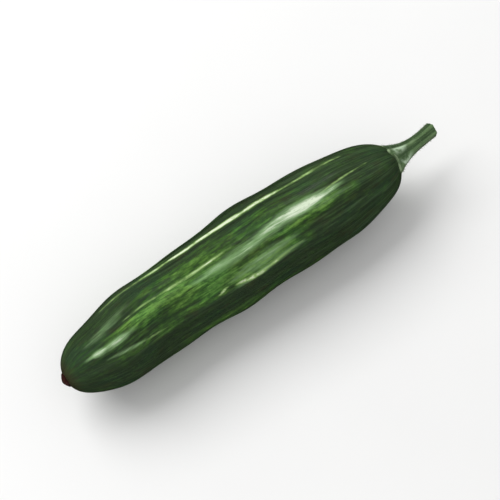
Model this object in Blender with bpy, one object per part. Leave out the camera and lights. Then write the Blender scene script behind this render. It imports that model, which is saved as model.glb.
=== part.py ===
"""A zucchini as picked, lying on its side: the ribbed fruit, its ridged stem stub and its corky blossom scar.

Metres, +Z up. +X runs along the fruit to the stem. The origin is on the surface that the fruit rests on,
under the middle of the whole length. Angles round the fruit start at +Y and turn towards +Z.
"""

import math

import bmesh
import bpy
from mathutils import Vector

MM = 0.001

# Driving dimensions
FRUIT_LENGTH = 188 * MM
STEM_LENGTH = 24 * MM
SCAR_HEIGHT = 2.0 * MM
SEAT_GAP = 0.35 * MM
BLOSSOM_X = SCAR_HEIGHT - (FRUIT_LENGTH + STEM_LENGTH + SCAR_HEIGHT) / 2
SHOULDER_X = BLOSSOM_X + FRUIT_LENGTH

# The fruit's radius and its bend to the side, each at shares of its length from the blossom end
GIRTH = (
    (0.0, 21.2 * MM),
    (0.1, 20.0 * MM),
    (0.22, 19.7 * MM),
    (0.36, 19.6 * MM),
    (0.48, 21.0 * MM),
    (0.6, 21.5 * MM),
    (0.7, 21.0 * MM),
    (0.8, 20.3 * MM),
    (0.9, 19.9 * MM),
    (1.0, 21.6 * MM),
)
SIDE_BEND = (
    (0.0, -2.6 * MM),
    (0.05, -2.1 * MM),
    (0.13, -2.0 * MM),
    (0.25, 0.4 * MM),
    (0.36, 0.4 * MM),
    (0.48, -0.5 * MM),
    (0.6, -0.1 * MM),
    (0.72, -1.1 * MM),
    (0.86, -2.2 * MM),
    (1.0, -4.2 * MM),
)
END_LIFT = 3.6 * MM
FLAT_DEPTH = 0.4 * MM

# The rounding of the ends: the share of the length that each takes, and how blunt it is
BLOSSOM_ROUNDING = (0.25, 2.32)
SHOULDER_ROUNDING = (0.22, 2.52)

# Ribs along the fruit: every second one is a main rib, in line with a ridge of the stem. They crowd a little
# on the top and the underside, and turn slowly round the fruit from one end to the other
RIBS = 10
MAIN_RIB = 1.1 * MM
MINOR_RIB = 0.7 * MM
RIB_SHARPNESS = 1.4
RIB_CROWDING = 0.1
CROWDED_ANGLE = math.radians(91)
TWIST = math.radians(10)

# Unevenness of the growth, as waves along the fruit: slow lumps that change sides, and shorter bulges that
# stand at BULGE_SIDES places round it
LUMP = 0.35 * MM
LUMP_WAVES = 2.2
LUMP_START = 0.6
LUMP_TURN = 0.4
BULGE = 0.35 * MM
BULGE_SIDES = 3
BULGE_WAVES = 5.4
BULGE_START = -1.98
BULGE_TURN = 2.3

# The stem stub and its foot, which spreads over the shoulder in a lobe for each ridge
STEM_RIDGES = 5
STEM_RIDGE_SHARPNESS = 1.4
NECK_RADIUS = 2.5 * MM
RIDGE_HEIGHT = 0.8 * MM
CUT_SWELL = 0.8 * MM
FOOT_RADIUS = 7.3 * MM
FOOT_LOBE = 2.6 * MM
FOOT_EDGE = 0.9 * MM
FLARE = 3.1
STEM_SIDEWAYS = 1.3 * MM
STEM_RISE = 1.0 * MM
CUT_SLOPE = 0.16

# The blossom scar: a low corky cap with a soft lobe for each petal that it bore, and a small point
SCAR_RADIUS = 3.4 * MM
SCAR_LOBES = 5
SCAR_LOBE = 0.4 * MM
SCAR_EDGE = 0.55 * MM
SCAR_POINT = 0.4 * MM
POINT_WIDTH = 0.45
POINT_LEAN = 0.3 * MM

# Mesh fineness. Above 1, RINGS_TO_FOOT crowds the stem's rings towards its foot
FRUIT_RINGS = 56
FRUIT_SIDES = 80
STEM_SIDES = 50
STEM_RINGS = 13
RINGS_TO_FOOT = 1.4
SEAT_RINGS = 4
SCAR_SIDES = 40

# Places of rings on the cut and on the scar, as shares of their radius
CUT_RINGS = (0.7, 0.35)
SCAR_RINGS = (1.0, 0.84, 0.66, 0.5, 0.36, 0.24, 0.12)

# Steps of the search for a place on the rounded ends
HALVINGS = 40

# Colour and roughness of each material
SKIN = ((0.028, 0.075, 0.022, 1.0), 0.32)
STEM = ((0.13, 0.24, 0.09, 1.0), 0.6)
SCAR = ((0.16, 0.055, 0.03, 1.0), 0.75)


def clear_scene():
    for obj in list(bpy.data.objects):
        bpy.data.objects.remove(obj)


def curve_through(stations, share):
    """Value at a share of the length on a smooth curve through (share, value) stations."""
    last = len(stations) - 2
    i = min(max(k for k in range(last + 1) if stations[k][0] <= max(share, 0.0)), last)
    (x0, y0), (x1, y1) = stations[i], stations[i + 1]
    before, after = stations[max(i - 1, 0)], stations[min(i + 2, last + 1)]
    slope0 = (y1 - before[1]) / (x1 - before[0])
    slope1 = (after[1] - y0) / (after[0] - x0)
    width = x1 - x0
    t = (share - x0) / width
    return (
        y0 * (1 + 2 * t) * (1 - t) ** 2
        + slope0 * width * t * (1 - t) ** 2
        + y1 * t * t * (3 - 2 * t)
        + slope1 * width * t * t * (t - 1)
    )


def end_rounding(share):
    """1 along the middle of the fruit, falling to 0 at its two poles."""
    rounding = 1.0
    for from_end, (reach, bluntness) in ((share, BLOSSOM_ROUNDING), (1 - share, SHOULDER_ROUNDING)):
        if from_end < reach:
            rounding *= (1 - (1 - from_end / reach) ** 2) ** (1 / bluntness)
    return rounding


def ridge_wave(angle, count, sharpness):
    """1 on each of count crests and 0 in the valleys between them."""
    return (0.5 + 0.5 * math.cos(count * angle)) ** sharpness


def rib_phase(share, angle):
    """Where a place lies among the ribs, as the angle that it would have if they were even and straight."""
    untwisted = angle - TWIST * (share - 0.5)
    return untwisted + RIB_CROWDING * math.sin(2 * (untwisted - CROWDED_ANGLE))


def rib_height(share, angle):
    """Height over the valleys of the ribs."""
    phase = rib_phase(share, angle)
    main = ridge_wave(phase, RIBS // 2, 1)
    return (MINOR_RIB + (MAIN_RIB - MINOR_RIB) * main) * ridge_wave(phase, RIBS, RIB_SHARPNESS)


def lump_height(share, angle):
    """Height of the unevenness, which may be below zero."""
    along = 2 * math.pi * share
    lump = LUMP * math.sin(LUMP_WAVES * along + LUMP_START) * math.cos(angle + LUMP_TURN)
    bulge = BULGE * math.sin(BULGE_WAVES * along + BULGE_START) * math.cos(BULGE_SIDES * angle + BULGE_TURN)
    return lump + bulge


def fruit_radius(share, angle):
    rounding = end_rounding(share)
    relief = (rib_height(share, angle) + lump_height(share, angle)) * rounding
    return (curve_through(GIRTH, share) + relief) * rounding


def fruit_centre(share):
    """Centre of the fruit's section. Its height keeps the underside almost level, with the ends lifted."""
    lift = END_LIFT * (2 * share - 1) ** 2
    return Vector((
        BLOSSOM_X + FRUIT_LENGTH * share,
        curve_through(SIDE_BEND, share),
        curve_through(GIRTH, share) - FLAT_DEPTH + lift,
    ))


def fruit_point(share, angle):
    """A point of the skin. What would lie under the resting surface is pressed flat against it."""
    radius = fruit_radius(share, angle)
    point = fruit_centre(share) + radius * Vector((0, math.cos(angle), math.sin(angle)))
    point.z = max(point.z, 0.0)
    return point


def share_at_radius(radius, angle, pole, reach):
    """Share of the length, within reach of a pole, where the skin is this far from the centre line."""
    near, far = pole, abs(pole - reach)
    for _ in range(HALVINGS):
        half = (near + far) / 2
        if fruit_radius(half, angle) < radius:
            near = half
        else:
            far = half
    return near


def circle(sides):
    return [2 * math.pi * k / sides for k in range(sides)]


def make_material(name, look):
    colour, roughness = look
    material = bpy.data.materials.new(name)
    material.use_nodes = True
    shader = material.node_tree.nodes["Principled BSDF"]
    shader.inputs["Base Color"].default_value = colour
    shader.inputs["Roughness"].default_value = roughness
    shader.inputs["Metallic"].default_value = 0.0
    return material


def loft(name, first_pole, rings, last_pole, material):
    """One closed body through rings of points, closed by a fan at each pole."""
    mesh_maker = bmesh.new()
    ring_verts = [[mesh_maker.verts.new(point) for point in ring] for ring in rings]
    for ring, following in zip(ring_verts, ring_verts[1:]):
        for k in range(len(ring)):
            mesh_maker.faces.new((ring[k - 1], ring[k], following[k], following[k - 1]))
    for pole, ring in ((first_pole, ring_verts[0]), (last_pole, ring_verts[-1])):
        tip = mesh_maker.verts.new(pole)
        for k in range(len(ring)):
            mesh_maker.faces.new((ring[k - 1], ring[k], tip))
    bmesh.ops.recalc_face_normals(mesh_maker, faces=mesh_maker.faces)
    mesh = bpy.data.meshes.new(name)
    mesh_maker.to_mesh(mesh)
    mesh_maker.free()
    mesh.shade_smooth()
    mesh.materials.append(material)
    obj = bpy.data.objects.new(name, mesh)
    bpy.context.scene.collection.objects.link(obj)
    return obj


def make_fruit():
    """Rings from the blossom end to the shoulder, closer together where the ends curve in."""
    shares = [(1 - math.cos(math.pi * i / FRUIT_RINGS)) / 2 for i in range(1, FRUIT_RINGS)]
    rings = [[fruit_point(share, angle) for angle in circle(FRUIT_SIDES)] for share in shares]
    return loft("fruit", fruit_point(0.0, 0.0), rings, fruit_point(1.0, 0.0), make_material("skin", SKIN))


def stem_centre(x):
    """Centre of the stem at x: the fruit's own centre line under the shoulder, a slight bend beyond it."""
    if x <= SHOULDER_X:
        return fruit_centre((x - BLOSSOM_X) / FRUIT_LENGTH)
    bend = ((x - SHOULDER_X) / STEM_LENGTH) ** 2
    centre = fruit_centre(1.0) + bend * Vector((0, STEM_SIDEWAYS, STEM_RISE))
    centre.x = x
    return centre


def make_stem():
    """The foot's underside follows the shoulder, and the flare narrows from its edge to the slanting cut."""
    angles = circle(STEM_SIDES)
    radial = [Vector((0, math.cos(angle), math.sin(angle))) for angle in angles]
    ridge = [ridge_wave(rib_phase(1.0, angle), STEM_RIDGES, STEM_RIDGE_SHARPNESS) for angle in angles]
    foot = [FOOT_RADIUS + FOOT_LOBE * crest for crest in ridge]
    neck = [NECK_RADIUS + RIDGE_HEIGHT * crest for crest in ridge]
    gap = Vector((SEAT_GAP, 0, 0))

    def underside(part):
        return [
            fruit_point(share_at_radius(part * edge, angle, 1.0, SHOULDER_ROUNDING[0]), angle) + gap
            for edge, angle in zip(foot, angles)
        ]

    def flare(along):
        ring = []
        for k, edge_point in enumerate(underside(1.0)):
            start = edge_point.x + FOOT_EDGE
            cut_radius = neck[k] + CUT_SWELL
            end = SHOULDER_X + STEM_LENGTH + CUT_SLOPE * cut_radius * radial[k].z
            x = start + (end - start) * along
            radius = neck[k] + CUT_SWELL * along**2 + (foot[k] - neck[k]) * (1 - along) ** FLARE
            ring.append(stem_centre(x) + radius * radial[k])
        return ring

    cut_edge = flare(1.0)
    cut_middle = stem_centre(SHOULDER_X + STEM_LENGTH)
    rings = [underside((step + 1) / SEAT_RINGS) for step in range(SEAT_RINGS)]
    rings += [flare((step / STEM_RINGS) ** RINGS_TO_FOOT) for step in range(STEM_RINGS)]
    rings.append(cut_edge)
    rings += [[cut_middle.lerp(point, part) for point in cut_edge] for part in CUT_RINGS]
    seat_middle = fruit_point(1.0, 0.0) + gap
    return loft("stem", seat_middle, rings, cut_middle, make_material("stem", STEM))


def make_blossom_scar():
    """A low cap over the blossom end, thin at its edge, that rises to a leaning point."""
    angles = circle(SCAR_SIDES)
    edge = [SCAR_RADIUS + SCAR_LOBE * ridge_wave(rib_phase(0.0, angle), SCAR_LOBES, 1) for angle in angles]
    gap = Vector((-SEAT_GAP, 0, 0))

    def underside(part):
        return [
            fruit_point(share_at_radius(part * reach, angle, 0.0, BLOSSOM_ROUNDING[0]), angle) + gap
            for reach, angle in zip(edge, angles)
        ]

    def outside(part):
        point_height = SCAR_POINT * math.exp(-((part / POINT_WIDTH) ** 2))
        cap_height = SCAR_HEIGHT - SEAT_GAP - SCAR_POINT - SCAR_EDGE
        height = SCAR_EDGE + cap_height * (1 - part**2) + point_height
        lean = POINT_LEAN * point_height / SCAR_POINT
        return [point - Vector((height, 0, lean)) for point in underside(part)]

    rings = [underside((step + 1) / SEAT_RINGS) for step in range(SEAT_RINGS)]
    rings += [outside(part) for part in SCAR_RINGS]
    seat_middle = fruit_point(0.0, 0.0) + gap
    tip = seat_middle - Vector((SCAR_HEIGHT - SEAT_GAP, 0, POINT_LEAN))
    return loft("blossom_scar", seat_middle, rings, tip, make_material("blossom_scar", SCAR))


clear_scene()
make_fruit()
make_stem()
make_blossom_scar()
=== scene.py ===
"""The looks of a zucchini as picked: its fine streaked skin, its ridged and bristly stem and its corky
blossom scar, on a plain pale stage.

Laid out as a Blender add-on and run as a script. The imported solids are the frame: every piece here keeps
the form and the place of the solid that it stands for. Metres, +Z up, +X along the fruit to the stem.
Angles round the fruit start at +Y and turn towards +Z.
"""

import math

import bpy
import numpy as np
from bpy.props import FloatProperty, FloatVectorProperty, IntProperty, PointerProperty
from mathutils import Matrix, Vector


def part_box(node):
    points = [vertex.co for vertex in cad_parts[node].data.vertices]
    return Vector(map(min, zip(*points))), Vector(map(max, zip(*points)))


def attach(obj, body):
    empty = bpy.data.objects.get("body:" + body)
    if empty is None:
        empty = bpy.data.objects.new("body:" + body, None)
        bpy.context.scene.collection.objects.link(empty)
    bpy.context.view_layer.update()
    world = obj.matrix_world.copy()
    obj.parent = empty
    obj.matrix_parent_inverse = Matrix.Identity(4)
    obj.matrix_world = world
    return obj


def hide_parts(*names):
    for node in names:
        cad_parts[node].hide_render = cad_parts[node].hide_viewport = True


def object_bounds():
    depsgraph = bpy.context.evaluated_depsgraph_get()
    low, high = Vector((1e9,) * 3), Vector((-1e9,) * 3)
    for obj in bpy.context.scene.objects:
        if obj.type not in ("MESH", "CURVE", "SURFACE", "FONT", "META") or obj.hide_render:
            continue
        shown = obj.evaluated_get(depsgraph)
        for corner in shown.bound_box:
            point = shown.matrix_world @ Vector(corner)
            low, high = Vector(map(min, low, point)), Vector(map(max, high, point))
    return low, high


bl_info = {
    "name": "Zucchini",
    "version": (1, 0, 0),
    "blender": (4, 5, 0),
    "location": "3D View > Sidebar > Zucchini",
    "description": "Grows a zucchini's skin, stem and scar on its solids, and lights it on a plain stage",
    "category": "Add Mesh",
}

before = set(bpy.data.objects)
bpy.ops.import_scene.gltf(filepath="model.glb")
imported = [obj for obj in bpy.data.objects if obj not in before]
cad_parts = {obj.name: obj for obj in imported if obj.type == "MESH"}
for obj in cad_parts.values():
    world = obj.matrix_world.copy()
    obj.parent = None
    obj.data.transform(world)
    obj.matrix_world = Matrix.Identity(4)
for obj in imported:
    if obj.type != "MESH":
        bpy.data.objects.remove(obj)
CAD_BOX = [list(corner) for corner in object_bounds()]

MM = 0.001

# The solids' own form. The fruit runs between its two poles along X. Its radius and its bend to the side
# stand at shares of its length. The rounding of an end is its share of the length and its bluntness
BLOSSOM_X, SHOULDER_X = (corner.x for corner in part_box("fruit"))
FRUIT_LENGTH = SHOULDER_X - BLOSSOM_X
GIRTH = (
    (0.0, 21.2 * MM), (0.1, 20.0 * MM), (0.22, 19.7 * MM), (0.36, 19.6 * MM), (0.48, 21.0 * MM),
    (0.6, 21.5 * MM), (0.7, 21.0 * MM), (0.8, 20.3 * MM), (0.9, 19.9 * MM), (1.0, 21.6 * MM),
)
SIDE_BEND = (
    (0.0, -2.6 * MM), (0.05, -2.1 * MM), (0.13, -2.0 * MM), (0.25, 0.4 * MM), (0.36, 0.4 * MM),
    (0.48, -0.5 * MM), (0.6, -0.1 * MM), (0.72, -1.1 * MM), (0.86, -2.2 * MM), (1.0, -4.2 * MM),
)
END_LIFT = 3.6 * MM
FLAT_DEPTH = 0.4 * MM
BLOSSOM_ROUNDING = (0.25, 2.32)
SHOULDER_ROUNDING = (0.22, 2.52)

# Every second rib is a main one, in line with a ridge of the stem. They turn slowly round the fruit
RIBS = 10
MAIN_RIB = 1.1 * MM
MINOR_RIB = 0.7 * MM
RIB_SHARPNESS = 1.4
RIB_CROWDING = 0.1
CROWDED_ANGLE = math.radians(91)
TWIST = math.radians(10)
# Unevenness of the growth, as waves along the fruit
LUMP, LUMP_WAVES, LUMP_START, LUMP_TURN = 0.35 * MM, 2.2, 0.6, 0.4
BULGE, BULGE_SIDES, BULGE_WAVES, BULGE_START, BULGE_TURN = 0.35 * MM, 3, 5.4, -1.98, 2.3

STEM_LENGTH = 24 * MM
STEM_RIDGES = 5
STEM_RIDGE_SHARPNESS = 1.4
NECK_RADIUS = 2.5 * MM
RIDGE_HEIGHT = 0.8 * MM
CUT_SWELL = 0.8 * MM
FOOT_RADIUS = 7.3 * MM
FOOT_LOBE = 2.6 * MM
FOOT_EDGE = 0.9 * MM
FLARE = 3.1
STEM_SIDEWAYS = 1.3 * MM
STEM_RISE = 1.0 * MM
CUT_SLOPE = 0.16

SCAR_HEIGHT = 2.0 * MM
SCAR_RADIUS = 3.4 * MM
SCAR_LOBES = 5
SCAR_LOBE = 0.4 * MM
SCAR_EDGE = 0.55 * MM
SCAR_POINT = 0.4 * MM
POINT_WIDTH = 0.45
POINT_LEAN = 0.3 * MM

# Finer form that only the looks have. Each stria wave is a count round the fruit and a height
STRIAE = ((29, 0.05 * MM), (41, 0.05 * MM), (53, 0.04 * MM), (67, 0.035 * MM))
STRIA_DRIFT = 1.6
DENTS = 16
DENT_SHARES = (0.12, 0.9)
DENT_RADIUS = (3 * MM, 8 * MM)
DENT_DEPTH = (0.05 * MM, 0.2 * MM)
NOMINAL_RADIUS = 21 * MM

# The stem's foot goes under the skin and bulges at its edge
FOOT_SUNK = 1.2 * MM
FOOT_INSET = 0.5 * MM
FOOT_START = 0.3 * MM
FOOT_BULGE = 0.35 * MM
MINOR_RIDGE, MINOR_RIDGE_SHARPNESS = 0.35 * MM, 3.0
FIBRE = 0.05 * MM
# Each wave of the fibres is a count round the stem, a share of their height and a start. Along the stem
# their height drifts as another wave, and they fade in from the foot
FIBRE_WAVES = ((37, 1.0, 1.0), (61, 0.7, 2.0))
FIBRE_DRIFT, FIBRE_DRIFT_START, FIBRE_FADE_IN = 9, 0.8, 6
# The foot's pale rim starts under the skin at this strength, and fades over these rings of the flare
RIM_START, RIM_RINGS = 0.6, 3
# The cut's rings, from its edge to its middle: each a share of its radius and a depth
CUT_PROFILE = (
    (1.0, 0.22 * MM), (0.975, 0.07 * MM), (0.94, 0.0), (0.89, 0.02 * MM),
    (0.82, 0.08 * MM), (0.74, 0.05 * MM), (0.66, 0.12 * MM), (0.56, 0.25 * MM),
    (0.44, 0.38 * MM), (0.32, 0.46 * MM), (0.2, 0.5 * MM), (0.1, 0.5 * MM),
)

# A bristle's sections are shares of its length and of its radius. Both of these vary between two shares of
# the full ones. Fewer grow in the grooves, and none further below the shoulder than BRISTLES_BELOW
BRISTLE_SIDES = 4
BRISTLE_RADIUS = 0.055 * MM
BRISTLE_SECTIONS = ((-0.08, 1.0), (0.45, 0.7))
BRISTLE_RADII, BRISTLE_LENGTHS = (0.8, 1.3), (0.35, 1.0)
BRISTLE_LEAN = 0.35
BRISTLES_BELOW = 2 * MM
GROOVE_CHANCE = 0.15

# The hidden undersides of the foot and of the scar start at this share of their radius
UNDERSIDE = 0.5

# The scar goes under the skin too, and its edge rises over a few rings to nearly the full height
SCAR_SUNK = 0.8 * MM
SCAR_UNDER_EDGE = 0.95
SCAR_OVERLAP = 0.1 * MM
SCAR_EDGE_LEVEL, SCAR_EDGE_RINGS = 0.8, 5
# Waves round the scar, as counts and a range of heights: its ragged outline, and its folds. These turn to
# and fro by up to SWIRL sides as they run inwards, are deeper and shallower in turn, and end at the middle
RAGGED_WAVES, RAGGED_HEIGHT = (7, 11, 17, 26), (0.05 * MM, 0.16 * MM)
FOLD_WAVES, FOLD_HEIGHT = (5, 9, 13, 22, 31), (0.3, 1.0)
SWIRL, SWIRL_TURNS, FOLD_TURNS, FOLD_FADE_IN = 9, 5, 14, 3

# Fineness of the meshes and of the search for a place on the rounded ends, and the first random seed
SKIN_SIDES, SKIN_RINGS = 400, 236
EVEN_RINGS = 0.5
STEM_SIDES, STEM_RINGS = 200, 90
RINGS_TO_FOOT = 1.25
EDGE_RINGS = 7
SCAR_SIDES, SCAR_RINGS = 160, 44
HALVINGS = 40
SEED = 11

# Pale streaks where the photograph shows them: share and angle (degrees, as on an untwisted fruit) of each
# end, half width (mm) and strength. Cream ones are pale lines in the skin, partly painted highlights on the
# rib crests; the others are painted highlights
# Pale lines along the rib crests, partly the skin's own and partly painted highlights
PALE_LINE_AND_HIGHLIGHT_STREAKS = (
    (0.16, 46.5, 0.28, 50.5, 0.7, 0.4),
    (0.25, 50, 0.40, 47.3, 0.85, 0.65),
    (0.35, 47.3, 0.53, 52, 0.85, 1.2),
    (0.48, 50.8, 0.62, 55.5, 0.9, 1.2),
    (0.56, 54.8, 0.70, 53.2, 0.95, 1.2),
    (0.66, 54, 0.87, 49.6, 0.8, 0.6),
    (0.19, 88, 0.32, 89.7, 0.6, 0.4),
    (0.28, 90, 0.50, 87.5, 0.85, 0.55),
    (0.295, 89.8, 0.35, 89.4, 0.6, 0.8),
    (0.41, 88.6, 0.465, 88, 0.5, 0.8),
    (0.77, 89.3, 0.91, 82.4, 0.5, 0.55),
    (0.472, 132, 0.54, 136, 0.9, 1.05),
    (0.50, 136, 0.66, 131, 0.6, 0.8),
    (0.418, 131.8, 0.441, 128.2, 0.6, 0.75),
    (0.19, 127, 0.27, 131.5, 0.5, 0.3),
)
# Painted highlights: whitish streaks of painted shine along the ribs, in the same terms
PAINTED_HIGHLIGHT_STREAKS = (
    (0.55, 98, 0.80, 91.5, 3.1, 0.75),
    (0.61, 95, 0.785, 92, 2.9, 1.15),
    (0.39, 101, 0.66, 99.5, 2.8, 0.6),
    (0.078, 103.5, 0.12, 104.3, 2.0, 0.88),
    (0.10, 104, 0.185, 106.5, 2.2, 0.68),
    (0.13, 105, 0.165, 106, 1.3, 0.9),
    (0.09, 83, 0.205, 75.5, 2.4, 0.43),
    (0.11, 120, 0.20, 127, 1.1, 0.52),
    (0.475, 135.5, 0.66, 131.5, 1.5, 0.5),
    (0.47, 124, 0.64, 120, 3.0, 0.5),
    (0.72, 104, 0.84, 102, 1.2, 0.35),
)
# Paler, yellower patches of the green, and deeper ones, in the same terms. The deeper ones are painted
# shade:
# a dark band on the +Y side, a dark line under the upper pale line, the darker side towards -Y and the ends
PALE_PATCHES = (
    (0.16, 96, 0.28, 100, 5.0, 0.8),
    (0.21, 97, 0.46, 97, 4.5, 1.15),
    (0.20, 108, 0.30, 108, 3.5, 0.5),
    (0.24, 90, 0.54, 87, 3.5, 0.85),
    (0.34, 112, 0.46, 116, 6.0, 1.0),
    (0.26, 100, 0.60, 101, 4.5, 0.9),
    (0.28, 77, 0.64, 73, 3.5, 0.45),
    (0.55, 84, 0.76, 80, 4.5, 0.3),
    (0.46, 121, 0.66, 124, 4.2, 1.1),
    (0.48, 111, 0.84, 104, 3.5, 0.65),
    (0.10, 112, 0.24, 114, 3.0, 0.35),
    (0.12, 126, 0.44, 127, 3.0, 0.35),
)
# Painted shade: darker patches where the skin is drawn in shade
PAINTED_SHADE_PATCHES = (
    (0.0, 62, 0.17, 58, 8.0, 1.05),
    (0.02, 92, 0.13, 94, 7.0, 0.3),
    (0.84, 78, 1.0, 78, 9.0, 0.6),
    (0.02, 156, 0.44, 160, 6.5, 0.7),
    (0.40, 165, 0.70, 163, 7.5, 0.7),
    (0.64, 150, 0.98, 148, 11.0, 0.75),
    (0.26, 56, 0.47, 56.5, 1.2, 1.3),
    (0.43, 56.3, 0.61, 62, 1.2, 1.5),
    (0.57, 61.5, 0.76, 61, 1.2, 1.4),
    (0.06, 34, 0.92, 34, 4.4, 1.3),
)

# A streak swells and thins like half a wave that leaves out this share at each end. The others are its
# width and strength at an end, as shares of the full ones, and how much further it fades along than across
END_SKIP, END_WIDTH, END_STRENGTH, END_FADE = 0.06, 0.3, 0.4, 2
# The crests that the photograph shows, in degrees, and places for patches on the sides that it doesn't
SEEN_CRESTS = (36, 180)
HIDDEN_PATCHES = (168, 205, 248, 292, 335, 18)
COOL_TINT = (0.7, 0.98, 1.1)

FLOOR_HALF = 4.0
FLOOR_DROP = 0.05 * MM
WORLD_STRENGTH = 0.62
# Each lamp: its name, where it is seen from the fruit, distance, sides, power and what it lights
LAMPS = (
    ("key_lamp", (-0.35, 0.85, 1.0), 1.7, (1.5, 1.1), 25, "diffuse"),
    ("top_lamp", (0.36, 0.26, 1.0), 1.5, (0.20, 0.06), 1.2, "glossy"),
)


class ZucchiniSkinSettings(bpy.types.PropertyGroup):
    deep_green: FloatVectorProperty(
        name="Deep green",
        description="Colour of the skin in the valleys and at the ends",
        default=(0.027, 0.047, 0.021),
        subtype="COLOR", min=0, max=1,
    )
    stroke_green: FloatVectorProperty(
        name="Stroke green",
        description="Colour of the broad strokes along the skin",
        default=(0.052, 0.135, 0.019),
        subtype="COLOR", min=0, max=1,
    )
    bright_green: FloatVectorProperty(
        name="Bright green",
        description="Colour of the thin yellowish strokes",
        default=(0.17, 0.34, 0.06),
        subtype="COLOR", min=0, max=1,
    )
    tip_brown: FloatVectorProperty(
        name="Tip brown",
        description="Colour that the skin takes on round the blossom scar",
        default=(0.045, 0.030, 0.014),
        subtype="COLOR", min=0, max=1,
    )
    faint_line_and_highlight: FloatVectorProperty(
        name="Thin cream",
        description="Colour of the pale lines where they are faint",
        default=(0.26, 0.42, 0.13),
        subtype="COLOR", min=0, max=1,
    )
    pale_line_and_highlight: FloatVectorProperty(
        name="Cream",
        description="Colour of the pale lines on the crests of the ribs",
        default=(0.66, 0.73, 0.53),
        subtype="COLOR", min=0, max=1,
    )
    faint_highlight_and_threads: FloatVectorProperty(
        name="Thin wax",
        description="Colour of the skin under thin bloom",
        default=(0.19, 0.33, 0.14),
        subtype="COLOR", min=0, max=1,
    )
    painted_highlight: FloatVectorProperty(
        name="Wax",
        description="Colour of the waxy bloom where it is thick",
        default=(0.64, 0.74, 0.56),
        subtype="COLOR", min=0, max=1,
    )
    stria_share: FloatProperty(
        name="Striae",
        description="Height of the fine lengthwise ridges, as a share of their full height",
        subtype="FACTOR",
        min=0.0,
        max=2.0,
        default=1.0,
    )


class ZucchiniStemSettings(bpy.types.PropertyGroup):
    ridge_green: FloatVectorProperty(
        name="Ridge green",
        description="Colour of the stem's ridges",
        default=(0.125, 0.215, 0.085),
        subtype="COLOR", min=0, max=1,
    )
    groove_green: FloatVectorProperty(
        name="Groove green",
        description="Colour of the stem's grooves",
        default=(0.050, 0.100, 0.036),
        subtype="COLOR", min=0, max=1,
    )
    rim_cream: FloatVectorProperty(
        name="Rim",
        description="Colour of the pale rim where the foot meets the skin",
        default=(0.36, 0.46, 0.27),
        subtype="COLOR", min=0, max=1,
    )
    painted_sheen: FloatVectorProperty(
        name="Bloom",
        description="Colour of the pale bloom on the ridges next to the foot",
        default=(0.52, 0.68, 0.48),
        subtype="COLOR", min=0, max=1,
    )
    flesh: FloatVectorProperty(
        name="Cut flesh",
        description="Colour of the cut across the stem",
        default=(0.50, 0.58, 0.30),
        subtype="COLOR", min=0, max=1,
    )
    bristle_length: FloatProperty(
        name="Bristle length",
        description="Length of the longest bristles on the stem",
        unit="LENGTH",
        min=0.0,
        default=1.3 * MM,
    )
    bristle_count: IntProperty(
        name="Bristles",
        description="Number of bristles on the stem",
        min=0,
        default=520,
    )


class ZucchiniScarSettings(bpy.types.PropertyGroup):
    cork_brown: FloatVectorProperty(
        name="Cork brown",
        description="Colour of the scar's raised cork",
        default=(0.060, 0.015, 0.009),
        subtype="COLOR", min=0, max=1,
    )
    crack_red: FloatVectorProperty(
        name="Crack red",
        description="Dark red of the scar's cracks and edge",
        default=(0.024, 0.005, 0.004),
        subtype="COLOR", min=0, max=1,
    )
    crumple: FloatProperty(
        name="Crumple",
        description="Depth of the folds of the dried scar",
        unit="LENGTH",
        min=0.0,
        default=0.22 * MM,
    )


class ZucchiniStageSettings(bpy.types.PropertyGroup):
    floor_colour: FloatVectorProperty(
        name="Floor",
        description="Colour of the floor",
        default=(0.86, 0.86, 0.855),
        subtype="COLOR", min=0, max=1,
    )
    azimuth: FloatProperty(
        name="Azimuth",
        description="Turn of the camera round the fruit, from looking along +Y",
        subtype="ANGLE",
        default=math.radians(-36),
    )
    elevation: FloatProperty(
        name="Elevation",
        description="Height of the camera over the horizon",
        subtype="ANGLE",
        default=math.radians(70),
    )
    lens: FloatProperty(
        name="Lens",
        description="Focal length in millimetres",
        min=1.0,
        default=100.0,
    )
    view_width: FloatProperty(
        name="View width",
        description="Width of what the camera sees at the fruit",
        unit="LENGTH",
        default=0.236,
    )


def curve_through(stations, share):
    """Values at shares of the length on a smooth curve through (share, value) stations."""
    at, value = np.array(stations).T
    slope = np.empty_like(value)
    slope[1:-1] = (value[2:] - value[:-2]) / (at[2:] - at[:-2])
    slope[0] = (value[1] - value[0]) / (at[1] - at[0])
    slope[-1] = (value[-1] - value[-2]) / (at[-1] - at[-2])
    i = np.clip(np.searchsorted(at, share, side="right") - 1, 0, len(at) - 2)
    width = at[i + 1] - at[i]
    t = (share - at[i]) / width
    return (
        value[i] * (1 + 2 * t) * (1 - t) ** 2
        + slope[i] * width * t * (1 - t) ** 2
        + value[i + 1] * t * t * (3 - 2 * t)
        + slope[i + 1] * width * t * t * (t - 1)
    )


def end_rounding(share):
    """1 along the middle of the fruit, falling to 0 at its two poles."""
    rounding = np.ones_like(share)
    for from_end, (reach, bluntness) in ((share, BLOSSOM_ROUNDING), (1 - share, SHOULDER_ROUNDING)):
        inward = np.clip(from_end / reach, 0, 1)
        rounding = rounding * (1 - (1 - inward) ** 2) ** (1 / bluntness)
    return rounding


def ridge_wave(angle, count, sharpness):
    """1 on each of count crests and 0 in the valleys between them."""
    return (0.5 + 0.5 * np.cos(count * angle)) ** sharpness


def rib_phase(share, angle):
    """Where a place lies among the ribs, as the angle that it would have if they were even and straight."""
    untwisted = angle - TWIST * (share - 0.5)
    return untwisted + RIB_CROWDING * np.sin(2 * (untwisted - CROWDED_ANGLE))


def rib_height(share, angle):
    phase = rib_phase(share, angle)
    main = ridge_wave(phase, RIBS // 2, 1)
    return (MINOR_RIB + (MAIN_RIB - MINOR_RIB) * main) * ridge_wave(phase, RIBS, RIB_SHARPNESS)


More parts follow.
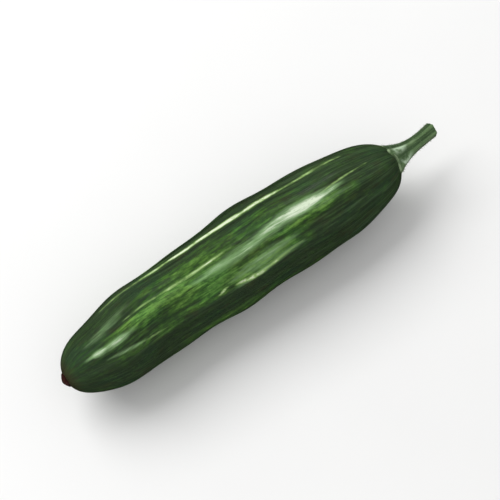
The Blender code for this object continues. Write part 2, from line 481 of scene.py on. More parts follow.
def lump_height(share, angle):
    along = 2 * math.pi * share
    lump = LUMP * np.sin(LUMP_WAVES * along + LUMP_START) * np.cos(angle + LUMP_TURN)
    bulge = BULGE * np.sin(BULGE_WAVES * along + BULGE_START) * np.cos(BULGE_SIDES * angle + BULGE_TURN)
    return lump + bulge


def fruit_radius(share, angle, finer=0.0):
    rounding = end_rounding(share)
    relief = (rib_height(share, angle) + lump_height(share, angle) + finer) * rounding
    return (curve_through(GIRTH, share) + relief) * rounding


def fruit_centre(share):
    """Centre of the fruit's section, as an array with x, y and z last."""
    lift = END_LIFT * (2 * share - 1) ** 2
    height = curve_through(GIRTH, share) - FLAT_DEPTH + lift
    return np.stack([BLOSSOM_X + FRUIT_LENGTH * share, curve_through(SIDE_BEND, share), height], -1)


def outwards(angle):
    """Direction away from the fruit's centre line."""
    return np.stack([np.zeros_like(angle), np.cos(angle), np.sin(angle)], -1)


def fruit_point(share, angle, finer=0.0):
    """Points of the skin, pressed flat against the surface that the fruit rests on."""
    point = fruit_centre(share) + fruit_radius(share, angle, finer)[..., None] * outwards(angle)
    point[..., 2] = np.maximum(point[..., 2], 0.0)
    return point


def share_at_radius(radius, angle, pole, reach):
    """Share of the length, within reach of a pole, where the skin is this far from the centre line."""
    near, far = np.full_like(angle, pole), np.full_like(angle, abs(pole - reach))
    for _ in range(HALVINGS):
        half = (near + far) / 2
        inside = fruit_radius(half, angle) < radius
        near, far = np.where(inside, half, near), np.where(inside, far, half)
    return near


def circle(sides):
    return np.arange(sides) * 2 * math.pi / sides


def add_object(name, data):
    obj = bpy.data.objects.new(name, data)
    bpy.context.scene.collection.objects.link(obj)
    return obj


def add_mesh(name, points, faces):
    mesh = bpy.data.meshes.new(name)
    mesh.from_pydata(points, [], faces)
    return add_object(name, mesh)


def lofted(name, rings, first_pole, last_pole):
    """A closed mesh object through an array of rings of points, with a fan of triangles at each pole."""
    count, sides = rings.shape[:2]
    points = with_poles(rings, first_pole, last_pole)
    here = np.arange(sides)
    following = (here + 1) % sides
    faces = []
    for ring in range(count - 1):
        low, high = ring * sides, (ring + 1) * sides
        faces += np.stack([low + here, low + following, high + following, high + here], 1).tolist()
    first, last, top = count * sides, count * sides + 1, (count - 1) * sides
    faces += np.stack([following, here, np.full(sides, first)], 1).tolist()
    faces += np.stack([top + here, top + following, np.full(sides, last)], 1).tolist()
    obj = add_mesh(name, points.tolist(), faces)
    obj.data.shade_smooth()
    return obj


def with_poles(per_ring, first, last):
    """The array's values for the rings' points, followed by those of the two poles."""
    return np.concatenate([per_ring.reshape(-1, *per_ring.shape[2:]), [first], [last]])


def put(obj, name, values):
    """Stores a number or a vector for each point of the mesh."""
    values = np.asarray(values, np.float32)
    kind, key = ("FLOAT_VECTOR", "vector") if values.ndim == 2 else ("FLOAT", "value")
    obj.data.attributes.new(name, kind, "POINT").data.foreach_set(key, values.ravel())


def vectors(points, key):
    """The vectors that a mesh keeps for its points."""
    values = np.empty(len(points) * 3)
    points.foreach_get(key, values)
    return values.reshape(-1, 3)


def wrap_map(obj, sides, along):
    """A UV map that unrolls a lofted mesh: round it from side to side, along it from bottom to top."""
    mesh = obj.data
    corners = np.empty(len(mesh.loops), np.int64)
    mesh.loops.foreach_get("vertex_index", corners)
    rings = len(along)
    ring, side = np.minimum(corners // sides, rings - 1), corners % sides
    pole = corners >= rings * sides
    u, v = side / sides, np.asarray(along, float)[ring]
    v[corners == rings * sides] = 0.0
    v[corners == rings * sides + 1] = 1.0
    # A face across the seam has its corners past the seam one turn on, and a pole's corner is mid-face
    starts = np.empty(len(mesh.polygons), np.int64)
    mesh.polygons.foreach_get("loop_start", starts)
    highest = np.maximum.reduceat(np.where(pole, 0.0, u), starts)
    face = np.repeat(np.arange(len(starts)), np.diff(np.append(starts, len(corners))))
    u = np.where((u < 0.5) & (highest[face] > 0.75), u + 1.0, u)
    middle = (highest - 0.5 / sides)[face]
    u = np.where(pole, middle, u)
    layer = mesh.uv_layers.new(name="OFBake")
    layer.uv.foreach_set("vector", np.stack([u, v], 1).astype(np.float32).ravel())


def finish_piece(obj, node, slot, *materials):
    """The piece gets its materials, rides with the fruit and stands for the solid of that node."""
    for material in materials:
        obj.data.materials.append(material)
    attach(obj, "root")
    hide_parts(node)


def tinted(share, colour):
    """The colour made darker or lighter."""
    return tuple(min(1.0, share * part) for part in colour)


class Finish:
    """A material while it is made. Each method adds a node and gives its output."""

    def __init__(self, name):
        self.material = bpy.data.materials.new(name)
        self.material.use_nodes = True
        self.tree = self.material.node_tree
        self.shader = self.tree.nodes["Principled BSDF"]

    def add(self, kind, inputs, **settings):
        node = self.tree.nodes.new(kind)
        for key, value in settings.items():
            setattr(node, key, value)
        for socket, value in inputs.items():
            self.give(node, socket, value)
        return node

    def give(self, node, socket, value):
        """Links an output to the socket, or sets the socket's own value."""
        if isinstance(value, bpy.types.NodeSocket):
            self.tree.links.new(value, node.inputs[socket])
        else:
            node.inputs[socket].default_value = value

    def attribute(self, name, part="Vector"):
        return self.add("ShaderNodeAttribute", {}, attribute_name=name).outputs[part]

    def parts(self, vector):
        return self.add("ShaderNodeSeparateXYZ", {0: vector}).outputs

    def calc(self, operation, first, second, clamp=False):
        inputs = {0: first, 1: second}
        return self.add("ShaderNodeMath", inputs, operation=operation, use_clamp=clamp).outputs[0]

    def times(self, first, second):
        return self.calc("MULTIPLY", first, second)

    def stretched(self, place, along, across, start=0.0):
        """The place in units of along metres on the growth's first axis and across metres on the others."""
        units, offset = (1 / along, 1 / across, 1 / across), (start, 2.3 * start, 0.7 * start)
        node = self.add("ShaderNodeVectorMath", {0: place, 1: units, 2: offset}, operation="MULTIPLY_ADD")
        return node.outputs[0]

    def grain(self, place, along, across, start, detail=3.0, roughness=0.5):
        """Noise whose blotches are along metres long and across metres wide."""
        place = self.stretched(place, along, across, start)
        inputs = {"Vector": place, "Scale": 1.0, "Detail": detail, "Roughness": roughness}
        return self.add("ShaderNodeTexNoise", inputs).outputs["Fac"]

    def cells(self, place, along, across):
        """Distance from the nearest of scattered cell centres, and a random value for each cell."""
        place = self.stretched(place, along, across)
        outputs = self.add("ShaderNodeTexVoronoi", {"Vector": place, "Scale": 1.0}).outputs
        return outputs["Distance"], self.parts(outputs["Color"])[0]

    def between(self, value, low, high, to_low=0.0, to_high=1.0):
        """value from low to high, mapped smoothly to to_low and to_high and held there outside them."""
        inputs = {"Value": value, "From Min": low, "From Max": high, "To Min": to_low, "To Max": to_high}
        return self.add("ShaderNodeMapRange", inputs, interpolation_type="SMOOTHSTEP").outputs["Result"]

    def mix(self, share, first, second, blend="MIX"):
        node = self.add("ShaderNodeMix", {"Factor": share}, data_type="RGBA", blend_type=blend)
        # This node has the same sockets for each type of data, and these are the colour's
        for socket, colour in ((6, first), (7, second)):
            self.give(node, socket, colour if isinstance(colour, bpy.types.NodeSocket) else (*colour, 1.0))
        return node.outputs[2]

    def bump(self, height, depth):
        inputs = {"Height": height, "Distance": depth, "Strength": 1.0}
        return self.add("ShaderNodeBump", inputs).outputs["Normal"]

    def shade(self, **inputs):
        for socket, value in inputs.items():
            self.give(self.shader, socket.replace("_", " "), value)
        return self.material


def skin_finish(colours):
    """Dark green skin with short lengthwise strokes of lighter green, pale broken lines that are partly
    painted highlights, broad painted highlights, painted shade and fine flecks.
    """
    f = Finish("zucchini_skin")
    growth = f.attribute("growth")
    pale_line_and_highlight, painted_highlight, pale = f.parts(f.attribute("marks"))
    valley_shade = f.attribute("valley_shade", "Fac")
    along = f.calc("DIVIDE", f.parts(growth)[0], FRUIT_LENGTH)

    # How light the green is: broad bands and patches, less at the two ends, and less in the valleys and the
    # deeper patches, which is painted shade
    bands = f.between(f.grain(growth, 40 * MM, 5 * MM, start=3.0), 0.36, 0.66)
    ends = f.times(f.between(along, 0.0, 0.17), f.between(along, 0.95, 0.80))
    light = f.calc("ADD", f.times(bands, 0.34), f.times(pale, 0.7))
    light = f.times(light, f.calc("ADD", f.times(ends, 0.85), 0.15))
    light = f.calc("SUBTRACT", light, f.times(valley_shade, 0.15), clamp=True)

    # Strokes and mottling, which stand out more where the green is light
    strokes = f.grain(growth, 12 * MM, 1.7 * MM, start=9.0, detail=5.0, roughness=0.6)
    mottle = f.grain(growth, 4.5 * MM, 2.2 * MM, start=61.0, detail=4.0, roughness=0.65)
    thin_strokes = f.grain(growth, 6 * MM, 0.7 * MM, start=17.0, roughness=0.6)
    hairlines = f.grain(growth, 8 * MM, 0.32 * MM, start=27.0, roughness=0.6)
    swing = f.between(strokes, 0.32, 0.68, -0.45, 0.45)
    swing = f.calc("ADD", swing, f.between(mottle, 0.32, 0.68, -0.35, 0.35))
    contrast = f.calc("ADD", f.times(light, 0.6), 0.40)
    tone = f.calc("ADD", light, f.times(swing, contrast))
    green = f.mix(f.between(tone, -0.15, 0.75), colours.deep_green, colours.stroke_green)
    glow = f.times(f.between(tone, 0.42, 1.35), 0.8)
    glints = f.times(f.between(thin_strokes, 0.44, 0.70), f.between(tone, 0.2, 1.0, 0.0, 0.4))
    green = f.mix(f.calc("ADD", glow, glints, clamp=True), green, colours.bright_green)

    # Cooler and browner places, painted shade that is darker still under the strongest shade patches, pale
    # threads towards the shoulder, dark hairlines and a brown tip
    cool = f.between(f.grain(growth, 22 * MM, 8 * MM, start=71.0), 0.45, 0.65, 0.0, 0.5)
    green = f.mix(cool, green, COOL_TINT, "MULTIPLY")
    green = f.mix(f.between(pale, -0.7, -1.2, 0.0, 0.6), green, tinted(0.45, colours.deep_green))
    russet = f.between(f.grain(growth, 9 * MM, 4 * MM, start=97.0), 0.52, 0.70, 0.0, 0.3)
    green = f.mix(russet, green, colours.tip_brown)
    threads = f.between(f.grain(growth, 24 * MM, 0.7 * MM, start=83.0, roughness=0.55), 0.46, 0.66)
    threads = f.times(threads, f.between(along, 0.6, 0.9, 0.07, 0.17))
    green = f.mix(threads, green, colours.faint_highlight_and_threads)
    green = f.mix(f.between(hairlines, 0.40, 0.66, 0.0, 0.40), green, tinted(0.5, colours.deep_green))
    green = f.mix(f.between(along, 0.03, 0.0, 0.0, 0.6), green, colours.tip_brown)

    # Pale lines, partly painted highlights, and broad painted highlights, broken by the same growth: green
    # where they are thin, whitish where thick
    broken = f.between(f.grain(growth, 7 * MM, 3 * MM, start=41.0, roughness=0.6), 0.36, 0.60, 0.55, 1.25)
    fine = f.between(thin_strokes, 0.35, 0.65, 1.12, 0.82)
    frayed = f.between(f.grain(growth, 13 * MM, 1.3 * MM, start=53.0), 0.34, 0.66, 0.68, 1.12)
    for share, thin, thick in (
        (f.times(painted_highlight, frayed), colours.faint_highlight_and_threads, colours.painted_highlight),
        (f.times(pale_line_and_highlight, broken), colours.faint_line_and_highlight, colours.pale_line_and_highlight),
    ):
        share = f.times(share, fine)
        green = f.mix(f.between(share, 0.05, 0.65), green, thin)
        green = f.mix(f.between(share, 0.45, 1.1), green, thick)

    distance, lot = f.cells(growth, 2.4 * MM, 1.1 * MM)
    fleck = f.times(f.between(distance, 0.32, 0.12), f.between(lot, 0.50, 0.75, 0.0, 0.3))
    return f.shade(
        Base_Color=f.mix(fleck, green, colours.stroke_green),
        Roughness=f.calc("ADD", f.between(strokes, 0.3, 0.7, 0.27, 0.40), f.times(painted_highlight, 0.05)),
        Specular_IOR_Level=0.3,
        Normal=f.bump(f.calc("SUBTRACT", hairlines, fleck), 0.05 * MM),
    )


def stem_finish(colours):
    """Fibrous green rind: pale ridges, dark grooves, painted highlights on the ridges next to the foot,
    painted shade on the far side and a thin broken pale rim at the skin.
    """
    f = Finish("stem_rind")
    growth = f.attribute("growth")
    out, side, _ = f.parts(growth)
    rim, ridge, _ = f.parts(f.attribute("marks"))
    fibres = f.grain(growth, 9 * MM, 0.5 * MM, start=5.0)
    share = f.calc("ADD", f.times(ridge, 0.55), f.between(fibres, 0.35, 0.65, -0.1, 0.4))
    green = f.mix(f.between(share, 0.0, 1.0), colours.groove_green, colours.ridge_green)
    blotches = f.between(f.grain(growth, 8 * MM, 3 * MM, start=15.0), 0.5, 0.75, 0.0, 0.25)
    green = f.mix(blotches, green, colours.rim_cream)

    # Painted highlights on the ridges next to the foot, painted shade on the far side, and the rim
    near_foot = f.times(f.between(out, 10 * MM, 4 * MM), f.between(out, -1.5 * MM, 1.5 * MM))
    patches = f.between(f.grain(growth, 3 * MM, 1.4 * MM, start=35.0), 0.36, 0.56)
    # Painted highlights on the ridges next to the foot
    painted_sheen = f.times(f.times(ridge, near_foot), patches)
    green = f.mix(f.times(painted_sheen, 0.9), green, colours.painted_sheen)
    # Painted shade: the stem is darker on its side towards +Y
    far_side_shade = f.between(side, 0.4 * NECK_RADIUS, 0.95 * NECK_RADIUS, 0.0, 0.7)
    green = f.mix(far_side_shade, green, tinted(0.6, colours.groove_green))
    worn = f.between(f.grain(growth, 2.2 * MM, 1.5 * MM, start=25.0, detail=2.0), 0.38, 0.58, 0.0, 0.7)
    return f.shade(
        Base_Color=f.mix(f.times(rim, worn), green, colours.rim_cream),
        Roughness=f.between(fibres, 0.3, 0.7, 0.62, 0.45),
        Specular_IOR_Level=0.4,
        Normal=f.bump(fibres, 0.18 * MM),
    )


def cut_finish(colours):
    """Moist pale flesh of the cut: a green rim, a ring of darker strands and a pithy middle."""
    f = Finish("stem_cut")
    place = f.attribute("growth")
    out = f.parts(f.attribute("marks"))[2]
    pith = f.grain(place, 0.6 * MM, 0.6 * MM, start=7.0, detail=4.0)
    spots, lot = f.cells(place, 4 * MM, 1.05 * MM)
    ring = f.times(f.between(out, 0.5, 0.68), f.between(out, 0.92, 0.8))
    strands = f.times(f.between(spots, 0.52, 0.3), ring)
    strands = f.times(strands, f.between(lot, 0.1, 0.3))
    colour = f.mix(f.between(pith, 0.4, 0.7, 0.0, 0.5), colours.flesh, colours.rim_cream)
    colour = f.mix(f.between(out, 0.55, 0.2, 0.0, 0.6), colour, tinted(1.25, colours.flesh))
    colour = f.mix(f.between(out, 0.86, 1.0), colour, colours.ridge_green)
    return f.shade(
        Base_Color=f.mix(f.times(strands, 0.8), colour, colours.groove_green),
        Roughness=f.between(pith, 0.3, 0.7, 0.35, 0.6),
        Specular_IOR_Level=0.5,
        Normal=f.bump(f.calc("SUBTRACT", pith, strands), 0.15 * MM),
    )


def bristle_finish(colours):
    """Stiff translucent hairs, paler towards their tips."""
    f = Finish("stem_bristles")
    tip = f.parts(f.attribute("marks"))[0]
    return f.shade(
        Base_Color=f.mix(tip, colours.ridge_green, colours.rim_cream),
        Roughness=f.between(tip, 0.0, 1.0, 0.5, 0.35),
        Specular_IOR_Level=0.5,
    )


def scar_finish(colours):
    """Dried cork: red-brown folds with darker cracks, and a tan tip."""
    f = Finish("blossom_scar")
    growth = f.attribute("growth")
    fold, out, _ = f.parts(f.attribute("marks"))
    crumbs = f.grain(growth, 0.7 * MM, 0.7 * MM, start=3.0, detail=4.0)
    stains = f.grain(growth, 2.5 * MM, 2.5 * MM, start=13.0)
    share = f.calc("ADD", f.times(fold, 0.7), f.between(crumbs, 0.3, 0.7, -0.25, 0.45))
    colour = f.mix(f.between(share, 0.1, 0.9), colours.crack_red, colours.cork_brown)
    colour = f.mix(f.between(stains, 0.5, 0.72, 0.0, 0.6), colour, tinted(2.1, colours.cork_brown))
    return f.shade(
        Base_Color=f.mix(f.between(out, 0.7, 1.0, 0.0, 0.6), colour, colours.crack_red),
        Roughness=f.between(crumbs, 0.3, 0.7, 0.85, 0.65),
        Specular_IOR_Level=0.3,
        Normal=f.bump(crumbs, 0.25 * MM),
    )


def skin_shares():
    """Places of the skin's rings, closer together at the ends."""
    step = np.arange(1, SKIN_RINGS) / SKIN_RINGS
    return EVEN_RINGS * step + (1 - EVEN_RINGS) * (1 - np.cos(math.pi * step)) / 2


def striae_and_dents(share, angle, rng, strength):
    """Fine lengthwise ridges, each wave drifting slowly along the fruit, and a few shallow dents."""
    relief = np.zeros_like(share)
    for count, height in STRIAE:
        start, drift = rng.uniform(0, 2 * math.pi, 2)
        wander = STRIA_DRIFT * np.sin(2 * math.pi * share + drift)
        relief += height * strength * np.sin(count * angle + start + wander)
    for _ in range(DENTS):
        at_share, at_angle = rng.uniform(*DENT_SHARES), rng.uniform(0, 2 * math.pi)
        radius, depth = rng.uniform(*DENT_RADIUS), rng.uniform(*DENT_DEPTH)
        turn = np.angle(np.exp(1j * (angle - at_angle)))
        distance = np.hypot((share - at_share) * FRUIT_LENGTH / 2, turn * NOMINAL_RADIUS)
        relief -= depth * np.exp(-((distance / radius) ** 2))
    return relief


def streak_strength(streaks, share, untwisted):
    """How strongly the strongest streak covers a place. Each streak is thin and faint at its two ends."""
    covered = np.zeros_like(share)
    for share0, angle0, share1, angle1, half_width, strength in streaks:
        along = np.clip((share - share0) / (share1 - share0), 0, 1)
        middle = np.radians(angle0 + (angle1 - angle0) * along)
        across = np.angle(np.exp(1j * (untwisted - middle))) * NOMINAL_RADIUS
        past = (share - (share0 + (share1 - share0) * along)) * FRUIT_LENGTH
        taper = np.sin(math.pi * (END_SKIP + (1 - 2 * END_SKIP) * along)) ** 0.5
        width = END_WIDTH + (1 - END_WIDTH) * taper
        height = strength * (END_STRENGTH + (1 - END_STRENGTH) * taper)
        distance = np.hypot(across / width, past / END_FADE) / (half_width * MM)
        covered = np.maximum(covered, height * np.exp(-(distance**2)))
    return covered


def hidden_streaks(rng, share_of_width):
    """Streaks like the seen ones, on the crests of the ribs that the photograph doesn't show."""
    streaks = []
    for rib in range(RIBS):
        crest = math.degrees(2 * math.pi * rib / RIBS)
        if SEEN_CRESTS[0] <= crest <= SEEN_CRESTS[1]:
            continue
        for _ in range(2):
            start = rng.uniform(0.1, 0.6)
            end = start + rng.uniform(0.12, 0.3)
            turn = rng.uniform(-5, 5, 2)
            width = rng.uniform(0.4, 0.9) * share_of_width
            streaks.append((start, crest + turn[0], end, crest + turn[1], width, rng.uniform(0.3, 0.7)))
    return tuple(streaks)


def hidden_patches(rng):
    """Paler patches of the green on the sides that the photograph doesn't show."""
    patches = []
    for angle in HIDDEN_PATCHES:
        start, turn = rng.uniform(0.1, 0.45), rng.uniform(-9, 9, 2)
        end = start + rng.uniform(0.15, 0.35)
        size = (rng.uniform(3, 6), rng.uniform(0.3, 0.8))
        patches.append((start, angle + turn[0], end, angle + turn[1], *size))
    return tuple(patches)


class ZUCCHINI_OT_skin(bpy.types.Operator):
    """Grow the fruit's fine skin over its solid"""

    bl_idname = "zucchini.skin"
    bl_label = "Skin"

    def execute(self, context):
        settings = context.scene.zucchini_skin
        rng = np.random.default_rng(SEED)
        shares = skin_shares()
        share, angle = np.meshgrid(shares, circle(SKIN_SIDES), indexing="ij")
        fine = striae_and_dents(share, angle, rng, settings.stria_share)
        poles = [fruit_point(np.array(end), np.array(0.0)) for end in (0.0, 1.0)]
        skin = lofted("zucchini_skin", fruit_point(share, angle, fine), *poles)

        untwisted = angle - TWIST * (share - 0.5)
        growth = NOMINAL_RADIUS * outwards(untwisted)
        growth[..., 0] = share * FRUIT_LENGTH
        put(skin, "growth", with_poles(growth, (0, 0, 0), (FRUIT_LENGTH, 0, 0)))
        # Pale lines, partly painted highlights
        pale_line_and_highlight = streak_strength(PALE_LINE_AND_HIGHLIGHT_STREAKS + hidden_streaks(rng, 1.0), share, untwisted)
        # Painted highlights along the ribs, on the hidden sides too
        painted_highlight = streak_strength(PAINTED_HIGHLIGHT_STREAKS + hidden_streaks(rng, 1.8), share, untwisted)
        pale = streak_strength(PALE_PATCHES + hidden_patches(rng), share, untwisted)
        # The deeper patches, which are painted shade, are taken off the paler ones
        pale -= streak_strength(PAINTED_SHADE_PATCHES, share, untwisted)
        marks = np.stack([pale_line_and_highlight, painted_highlight, pale], -1)
        put(skin, "marks", with_poles(marks, (0, 0, 0), (0, 0, 0)))
        # Depth in the valleys between the ribs, where shade is painted
        put(skin, "valley_shade", with_poles(1 - ridge_wave(rib_phase(share, angle), RIBS, 1), 0, 0))
        wrap_map(skin, SKIN_SIDES, shares)
        finish_piece(skin, "fruit", "skin", skin_finish(settings))
        return {"FINISHED"}


def stem_centre(x):
    """Centre of the stem: the fruit's centre line under the shoulder, and a slight bend beyond it."""
    centre = fruit_centre(np.clip((x - BLOSSOM_X) / FRUIT_LENGTH, 0, 1))
    bend = np.clip((x - SHOULDER_X) / STEM_LENGTH, 0, None) ** 2
    centre[..., 0] = x
    centre[..., 1] += bend * STEM_SIDEWAYS
    centre[..., 2] += bend * STEM_RISE
    return centre


class StemForm:
    """The stem's rings, from under its foot to the middle of its cut."""

    def __init__(self, sides, rings):
        self.angle = circle(sides)
        self.phase = rib_phase(1.0, self.angle)
        self.ridge = ridge_wave(self.phase, STEM_RIDGES, STEM_RIDGE_SHARPNESS)
        between = ridge_wave(self.phase + math.pi / STEM_RIDGES, STEM_RIDGES, MINOR_RIDGE_SHARPNESS)
        self.foot = FOOT_RADIUS + FOOT_LOBE * self.ridge
        self.neck = NECK_RADIUS + RIDGE_HEIGHT * self.ridge + MINOR_RIDGE * between
        share = share_at_radius(self.foot, self.angle, 1.0, SHOULDER_ROUNDING[0])
        self.edge_x = fruit_point(share, self.angle)[:, 0]
        self.rings, self.rows = [], []
        self.add_foot()
        self.add_flare(rings)
        self.cut_start = len(self.rings)
        self.add_cut()

    def ring(self, x, radius, rim, out):
        """A ring at x, which may vary from side to side. Its marks are rim, ridge and place on the cut."""
        self.rings.append(stem_centre(x) + radius[:, None] * outwards(self.angle))
        self.rows.append((np.broadcast_to(rim, x.shape), self.ridge, np.broadcast_to(out, x.shape)))

    def add_foot(self):
        """The foot's rounded edge, from under the skin up to the flare."""
        for radius in (UNDERSIDE * self.foot, self.foot - FOOT_INSET):
            self.ring(self.edge_x - FOOT_SUNK, radius, 0.0, 0.0)
        for turn in np.linspace(0, math.pi / 2, EDGE_RINGS + 1)[:-1]:
            x = self.edge_x - FOOT_START + (FOOT_EDGE + FOOT_START) * math.sin(turn)
            rim = math.sin(turn) ** 0.5 if turn else RIM_START
            self.ring(x, self.foot + FOOT_BULGE * math.cos(turn), rim, 0.0)

    def add_flare(self, rings):
        """From the foot's edge, which is thick, to the cut's edge, with fine fibres on the rind."""
        start = self.edge_x + FOOT_EDGE
        cut_radius = self.neck + CUT_SWELL
        end = SHOULDER_X + STEM_LENGTH + CUT_SLOPE * cut_radius * np.sin(self.angle)
        fibre = sum(part * np.sin(count * self.angle + turn) for count, part, turn in FIBRE_WAVES)
        for step in range(rings):
            along = (step / rings) ** RINGS_TO_FOOT
            x = start + (end - start) * along
            radius = self.neck + CUT_SWELL * along**2 + (self.foot - self.neck) * (1 - along) ** FLARE
            drift = 1 + 0.5 * math.sin(FIBRE_DRIFT * along + FIBRE_DRIFT_START)
            radius = radius + FIBRE * fibre * drift * min(1.0, FIBRE_FADE_IN * along)
            self.ring(x, radius, max(0.0, 1 - step / RIM_RINGS), 0.0)
        self.cut_radius = radius + CUT_SWELL * (1 - along**2)

    def add_cut(self):
        """The cut's rounded edge and its slightly sunken face."""
        for out, sink in CUT_PROFILE:
            slope = CUT_SLOPE * self.cut_radius * out * np.sin(self.angle)
            x = SHOULDER_X + STEM_LENGTH + slope - sink
            self.ring(x, self.cut_radius * out, 0.0, out)

    def arrays(self):
        """Points, places in the growth and marks. The cut's places are measured from its own middle."""
        points, marks = np.array(self.rings), np.stack([np.stack(row, -1) for row in self.rows])
        growth = np.zeros_like(points) + NECK_RADIUS * outwards(self.phase)
        growth[..., 0] = points[..., 0] - SHOULDER_X
        on_cut = points[self.cut_start:]
        growth[self.cut_start:] = on_cut - on_cut.mean((0, 1))
        return points, growth, marks


class ZUCCHINI_OT_stem(bpy.types.Operator):
    """Grow the stem's rind and its cut over its solid"""

    bl_idname = "zucchini.stem"
    bl_label = "Stem"

    def execute(self, context):
        settings = context.scene.zucchini_stem
        form = StemForm(STEM_SIDES, STEM_RINGS)
        points, growth, marks = form.arrays()
        bottom, top = points[0].mean(0), points[-1].mean(0)
        stem = lofted("zucchini_stem", points, bottom, top)
        put(stem, "growth", with_poles(growth, (0, 0, 0), growth[-1].mean(0)))
        put(stem, "marks", with_poles(marks, (0, 0, 0), (0, 0, 0)))
        on_cut = np.arange(len(stem.data.polygons)) >= form.cut_start * STEM_SIDES
        on_cut[(len(points) - 1) * STEM_SIDES : len(points) * STEM_SIDES] = False
        finish_piece(stem, "stem", "stem", stem_finish(settings), cut_finish(settings))
        stem.data.polygons.foreach_set("material_index", on_cut.astype(np.int32))
        return {"FINISHED"}


class ZUCCHINI_OT_bristles(bpy.types.Operator):
    """Set short stiff bristles on the stem's ridges and on its foot"""

    bl_idname = "zucchini.bristles"
    bl_label = "Bristles"

    def execute(self, context):
        settings = context.scene.zucchini_stem
        if "zucchini_stem" not in bpy.data.objects:
            raise RuntimeError("the bristles need the stem: run its operator first")
        stem = bpy.data.objects["zucchini_stem"].data
        rng = np.random.default_rng(SEED + 1)
        co = vectors(stem.vertices, "co")
        normal = vectors(stem.vertex_normals, "vector")
        marks = vectors(stem.attributes["marks"].data, "vector")
        on_rind = (marks[:, 2] == 0) & (co[:, 0] > SHOULDER_X - BRISTLES_BELOW)
        likely = np.where(on_rind, GROOVE_CHANCE + marks[:, 1], 0.0)
        roots = rng.choice(len(co), settings.bristle_count, replace=False, p=likely / likely.sum())
        verts, faces, tips = [], [], []
        for root in roots:
            direction = normal[root] + rng.normal(0, BRISTLE_LEAN, 3)
            direction /= np.linalg.norm(direction)
            side = np.cross(direction, (1.0, 0.2, 0.1))
            side /= np.linalg.norm(side)
            other = np.cross(direction, side)
            length = settings.bristle_length * rng.uniform(*BRISTLE_LENGTHS)
            radius = BRISTLE_RADIUS * rng.uniform(*BRISTLE_RADII)
            first = len(verts)
            for part, share in BRISTLE_SECTIONS:
                for turn in circle(BRISTLE_SIDES):
                    swing = radius * share * (math.cos(turn) * side + math.sin(turn) * other)
                    verts.append(tuple(co[root] + direction * length * part + swing))
                    tips.append((max(part, 0.0), 0, 0))
            verts.append(tuple(co[root] + direction * length))
            tips.append((1.0, 0, 0))
            upper, tip = first + BRISTLE_SIDES, first + 2 * BRISTLE_SIDES
            for k in range(BRISTLE_SIDES):
                following = (k + 1) % BRISTLE_SIDES
                faces.append((first + k, first + following, upper + following, upper + k))
                faces.append((upper + k, upper + following, tip))
            faces.append(tuple(range(upper - 1, first - 1, -1)))
        bristles = add_mesh("stem_bristles", verts, faces)
        bristles.data.shade_smooth()
        put(bristles, "marks", tips)
        bristles.data.materials.append(bristle_finish(settings))
        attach(bristles, "root")
        return {"FINISHED"}


def random_waves(angle, counts, heights, rng):
    """Waves round a ring, each with a height and a start drawn at random."""
    return sum(rng.uniform(*heights) * np.sin(count * angle + rng.uniform(0, 6)) for count in counts)


class ZUCCHINI_OT_blossom_scar(bpy.types.Operator):
    """Grow the crumpled corky scar at the blossom end over its solid"""

    bl_idname = "zucchini.blossom_scar"
    bl_label = "Blossom scar"

    def execute(self, context):
        settings = context.scene.zucchini_scar
        rng = np.random.default_rng(SEED + 2)
        angle = circle(SCAR_SIDES)
        lobe = ridge_wave(rib_phase(0.0, angle), SCAR_LOBES, 1)
        ragged = random_waves(angle, RAGGED_WAVES, RAGGED_HEIGHT, rng)
        edge = SCAR_RADIUS + SCAR_LOBE * lobe + ragged
        folds = random_waves(angle, FOLD_WAVES, FOLD_HEIGHT, rng)
        folds /= np.abs(folds).max()
        rings, marks = [], []

        def ring(part, height, fold):
            share = share_at_radius(part * edge, angle, 0.0, BLOSSOM_ROUNDING[0])
            point = fruit_point(share, angle)
            point[:, 0] -= height
            point[:, 2] -= POINT_LEAN * np.clip(height - SCAR_EDGE, 0, None) / (SCAR_HEIGHT - SCAR_EDGE)
            rings.append(point)
            fold = np.broadcast_to(fold, angle.shape)
            marks.append(np.stack([fold, np.full_like(angle, part), np.zeros_like(angle)], -1))

        for part in (UNDERSIDE, SCAR_UNDER_EDGE):
            ring(part, -SCAR_SUNK, 0.5)
        for step in range(SCAR_RINGS):
            part = 1 - step / SCAR_RINGS
            rise = min(1.0, step / SCAR_EDGE_RINGS) ** 0.5
            cap = (SCAR_HEIGHT - SCAR_POINT - SCAR_EDGE) * (1 - part**2)
            point = SCAR_POINT * math.exp(-((part / POINT_WIDTH) ** 2))
            swirl = np.roll(folds, int(SWIRL * math.sin(SWIRL_TURNS * part)))
            depth = min(1.0, FOLD_FADE_IN * part) * (0.6 + 0.4 * math.sin(FOLD_TURNS * part))
            edge_height = SCAR_EDGE * SCAR_EDGE_LEVEL + settings.crumple * swirl * depth
            ring(part, edge_height * rise + cap + point - SCAR_OVERLAP, 0.5 + 0.5 * swirl)
        scar = lofted("zucchini_blossom_scar", np.array(rings), rings[0].mean(0), rings[-1].mean(0))
        growth = np.array(rings) - np.array([BLOSSOM_X, 0, 0])
        put(scar, "growth", with_poles(growth, growth[0].mean(0), growth[-1].mean(0)))
        put(scar, "marks", with_poles(np.array(marks), (0.5, 0, 0), (0.5, 0, 0)))
        scar.data.flip_normals()
        finish_piece(scar, "blossom_scar", "scar", scar_finish(settings))
        return {"FINISHED"}


def direction_at(azimuth, elevation):
    """Unit vector from the fruit towards a viewer. Azimuth 0 is towards -Y."""
    level = math.cos(elevation)
    return Vector((math.sin(azimuth) * level, -math.cos(azimuth) * level, math.sin(elevation)))


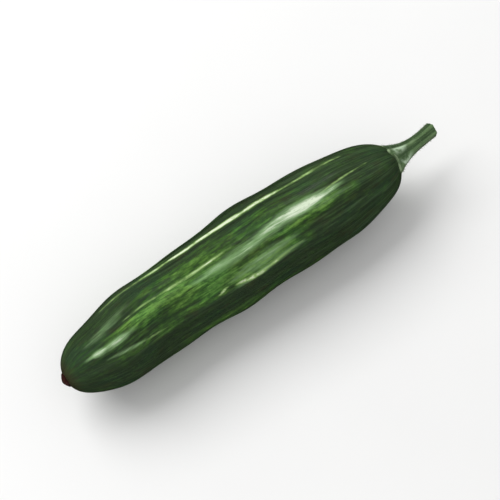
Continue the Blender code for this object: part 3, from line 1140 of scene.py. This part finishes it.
def softbox(name, target, direction, distance, size, power, seen_by):
    """A rectangular lamp that faces the target, with its first side along the fruit as far as it can be.

    seen_by names the one kind of reflection, diffuse or glossy, that it lights.
    """
    data = bpy.data.lights.new(name, "AREA")
    data.shape = "RECTANGLE"
    data.size, data.size_y = size
    data.energy = power
    lamp = add_object(name, data)
    back = direction.normalized()
    side = (Vector((1, 0, 0)) - back * back.x).normalized()
    turn = Matrix((side, back.cross(side), back)).transposed().to_4x4()
    lamp.matrix_world = Matrix.Translation(target + back * distance) @ turn
    lamp.visible_camera = False
    lamp.visible_glossy = seen_by == "glossy"
    lamp.visible_diffuse = seen_by == "diffuse"


def floor_finish(colour):
    """Matte pale board with a barely uneven tone."""
    f = Finish("floor")
    place = f.add("ShaderNodeTexCoord", {}).outputs["Object"]
    tone = f.add("ShaderNodeTexNoise", {"Vector": place, "Scale": 9.0, "Detail": 3.0}).outputs["Fac"]
    shade = f.mix(f.between(tone, 0.3, 0.7), colour, tinted(0.985, colour))
    return f.shade(Base_Color=shade, Roughness=0.8, Specular_IOR_Level=0.15)


class ZUCCHINI_OT_stage(bpy.types.Operator):
    """Set the pale floor, the soft lamps and the camera"""

    bl_idname = "zucchini.stage"
    bl_label = "Stage"

    def execute(self, context):
        settings = context.scene.zucchini_stage
        corners = [(x * FLOOR_HALF, y * FLOOR_HALF, 0) for x, y in ((-1, -1), (1, -1), (1, 1), (-1, 1))]
        floor = add_mesh("floor", corners, [(0, 1, 2, 3)])
        floor.location.z = -FLOOR_DROP
        floor.data.materials.append(floor_finish(settings.floor_colour))
        floor.visible_glossy = False

        low, high = (Vector(corner) for corner in CAD_BOX)
        target = (low + high) / 2
        for name, direction, *rest in LAMPS:
            softbox(name, target, Vector(direction), *rest)

        world = bpy.data.worlds.new("studio")
        world.use_nodes = True
        background = world.node_tree.nodes["Background"].inputs
        background["Color"].default_value = (1.0, 1.0, 1.0, 1.0)
        background["Strength"].default_value = WORLD_STRENGTH
        world.cycles_visibility.glossy = False
        context.scene.world = world
        context.scene.view_settings.view_transform = "Standard"

        data = bpy.data.cameras.new("camera")
        data.lens = settings.lens
        camera = add_object("camera", data)
        back = direction_at(settings.azimuth, settings.elevation)
        camera.location = target + back * settings.view_width * settings.lens / data.sensor_width
        camera.rotation_euler = (-back).to_track_quat("-Z", "Y").to_euler()
        context.scene.camera = camera
        return {"FINISHED"}


STEPS = (
    ZUCCHINI_OT_skin,
    ZUCCHINI_OT_stem,
    ZUCCHINI_OT_bristles,
    ZUCCHINI_OT_blossom_scar,
    ZUCCHINI_OT_stage,
)
SETTINGS = {
    "zucchini_skin": ZucchiniSkinSettings,
    "zucchini_stem": ZucchiniStemSettings,
    "zucchini_scar": ZucchiniScarSettings,
    "zucchini_stage": ZucchiniStageSettings,
}


class ZUCCHINI_PT_sidebar(bpy.types.Panel):
    bl_idname = "ZUCCHINI_PT_sidebar"
    bl_label = "Zucchini"
    bl_space_type = "VIEW_3D"
    bl_region_type = "UI"
    bl_category = "Zucchini"

    def draw(self, context):
        for group in SETTINGS:
            box = self.layout.box()
            settings = getattr(context.scene, group)
            for name in settings.__annotations__:
                box.prop(settings, name)
        for step in STEPS:
            self.layout.operator(step.bl_idname)


CLASSES = (*SETTINGS.values(), *STEPS, ZUCCHINI_PT_sidebar)


def register():
    for cls in CLASSES:
        bpy.utils.register_class(cls)
    for name, group in SETTINGS.items():
        setattr(bpy.types.Scene, name, PointerProperty(type=group))


def unregister():
    for name in SETTINGS:
        delattr(bpy.types.Scene, name)
    for cls in reversed(CLASSES):
        bpy.utils.unregister_class(cls)


def main():
    register()
    bpy.ops.zucchini.skin()
    bpy.ops.zucchini.stem()
    bpy.ops.zucchini.bristles()
    bpy.ops.zucchini.blossom_scar()
    bpy.ops.zucchini.stage()
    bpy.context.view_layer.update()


if __name__ == "__main__":
    main()
